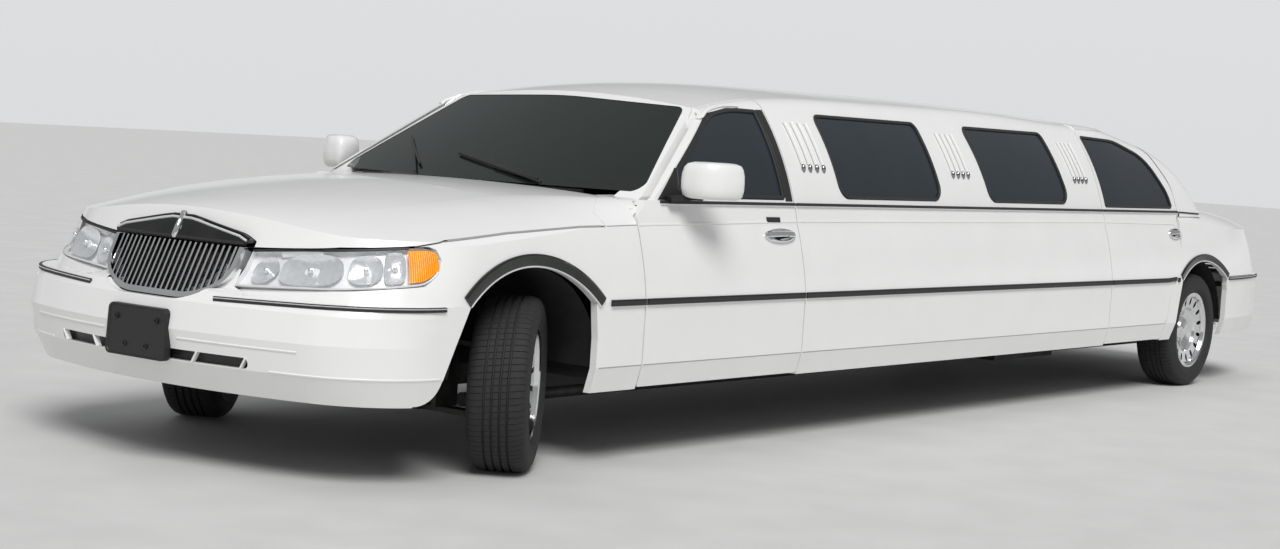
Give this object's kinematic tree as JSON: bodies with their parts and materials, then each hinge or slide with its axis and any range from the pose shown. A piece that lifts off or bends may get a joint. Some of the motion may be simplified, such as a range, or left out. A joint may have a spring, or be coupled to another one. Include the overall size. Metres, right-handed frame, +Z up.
{
  "type": "stretch limousine",
  "caption": "Long white four-door stretch limousine with arched window pillars, a barred upright grille and an opening hood, boot lid and doors.",
  "frame": {"origin": "on the ground, at the centre of the length and width of the car's bounding box", "axes": "+X forward, +Y to the car's left, +Z up"},
  "size_m": [8.5298, 2.2416, 1.5296],
  "materials": {
    "body_paint": "gloss white",
    "bright": "polished",
    "wheel_metal": "polished",
    "lamp_lens": "clear",
    "lamp_red": "clear red",
    "window_glass": "tinted",
    "black_plastic": "grained",
    "underbody": "satin black",
    "running_gear": "satin",
    "seat_leather": "soft grain",
    "trim_panel": "cloth lined",
    "tyre_rubber": "matt"
  },
  "bodies": {
    "body": {"roof_panel": "body_paint", "side_panels": "body_paint", "rear_quarters": "body_paint", "front_fenders": "body_paint", "front_bumper": "body_paint", "rear_bumper": "body_paint", "plate_bracket": "black_plastic", "grille": "bright", "headlamps": "lamp_lens", "tail_lamps": "lamp_red", "windscreen": "window_glass", "rear_window": "window_glass", "side_windows": "window_glass", "cowl_panel": "black_plastic", "wipers": "black_plastic", "floor_pan": "underbody", "chassis_frame": "underbody", "front_suspension": "running_gear", "rear_axle": "running_gear", "propshaft": "running_gear", "engine_block": "running_gear", "exhaust": "running_gear", "fuel_tank": "underbody", "dashboard": "black_plastic", "steering_wheel": "seat_leather", "front_seats": "seat_leather", "partition": "trim_panel", "side_bench": "seat_leather", "rear_seat": "seat_leather"},
    "hood": {"hood": "body_paint", "hood_header": "bright"},
    "boot_lid": {"boot_lid": "body_paint"},
    "door_front_left": {"door_front_left": "body_paint", "glass_front_left": "window_glass", "mirror_left": "body_paint"},
    "door_front_right": {"door_front_right": "body_paint", "glass_front_right": "window_glass", "mirror_right": "body_paint"},
    "door_rear_left": {"door_rear_left": "body_paint", "glass_rear_left": "window_glass"},
    "door_rear_right": {"door_rear_right": "body_paint", "glass_rear_right": "window_glass"},
    "knuckle_left": {"knuckle_left": "running_gear"},
    "knuckle_right": {"knuckle_right": "running_gear"},
    "wheel_front_left": {"rim_front_left": "wheel_metal", "tyre_front_left": "tyre_rubber"},
    "wheel_front_right": {"rim_front_right": "wheel_metal", "tyre_front_right": "tyre_rubber"},
    "wheel_rear_left": {"rim_rear_left": "wheel_metal", "tyre_rear_left": "tyre_rubber"},
    "wheel_rear_right": {"rim_rear_right": "wheel_metal", "tyre_rear_right": "tyre_rubber"}
  },
  "joints": [
    {"name": "hood_hinge", "type": "hinge", "parent": "body", "child": "hood", "pos_m": [2.53, 0, 1.056], "axis": [0, -1, 0], "range_deg": [0, 55]},
    {"name": "boot_lid_hinge", "type": "hinge", "parent": "body", "child": "boot_lid", "pos_m": [-3.115, 0, 1.058], "axis": [0, 1, 0], "range_deg": [0, 75]},
    {"name": "door_front_left_hinge", "type": "hinge", "parent": "body", "child": "door_front_left", "pos_m": [2.573, 0.98, 0.6], "axis": [0, 0, -1], "range_deg": [0, 65]},
    {"name": "door_front_right_hinge", "type": "hinge", "parent": "body", "child": "door_front_right", "pos_m": [2.573, -0.98, 0.6], "axis": [0, 0, 1], "range_deg": [0, 65]},
    {"name": "door_rear_left_hinge", "type": "hinge", "parent": "body", "child": "door_rear_left", "pos_m": [-1.615, 0.98, 0.6], "axis": [0, 0, -1], "range_deg": [0, 65]},
    {"name": "door_rear_right_hinge", "type": "hinge", "parent": "body", "child": "door_rear_right", "pos_m": [-1.615, -0.98, 0.6], "axis": [0, 0, 1], "range_deg": [0, 65]},
    {"name": "steer_left", "type": "hinge", "parent": "body", "child": "knuckle_left", "pos_m": [3.185, 0.77, 0.328], "axis": [0, 0, 1], "range_deg": [-68, 2]},
    {"name": "steer_right", "type": "hinge", "parent": "body", "child": "knuckle_right", "pos_m": [3.185, -0.77, 0.328], "axis": [0, 0, 1], "range_deg": [-68, 2]},
    {"name": "wheel_front_left_spin", "type": "hinge", "parent": "knuckle_left", "child": "wheel_front_left", "pos_m": [3.16594, 0.79935, 0.328], "axis": [-0.5446, 0.8387, 0], "continuous": true},
    {"name": "wheel_front_right_spin", "type": "hinge", "parent": "knuckle_right", "child": "wheel_front_right", "pos_m": [3.20406, -0.79935, 0.328], "axis": [-0.5446, 0.8387, 0], "continuous": true},
    {"name": "wheel_rear_left_spin", "type": "hinge", "parent": "body", "child": "wheel_rear_left", "pos_m": [-2.853, 0.8295, 0.328], "axis": [0, 1, 0], "continuous": true},
    {"name": "wheel_rear_right_spin", "type": "hinge", "parent": "body", "child": "wheel_rear_right", "pos_m": [-2.853, -0.8295, 0.328], "axis": [0, 1, 0], "continuous": true}
  ],
  "couplings": [
    {"joint": "steer_right", "follows": "steer_left", "ratio": 1}
  ]
}
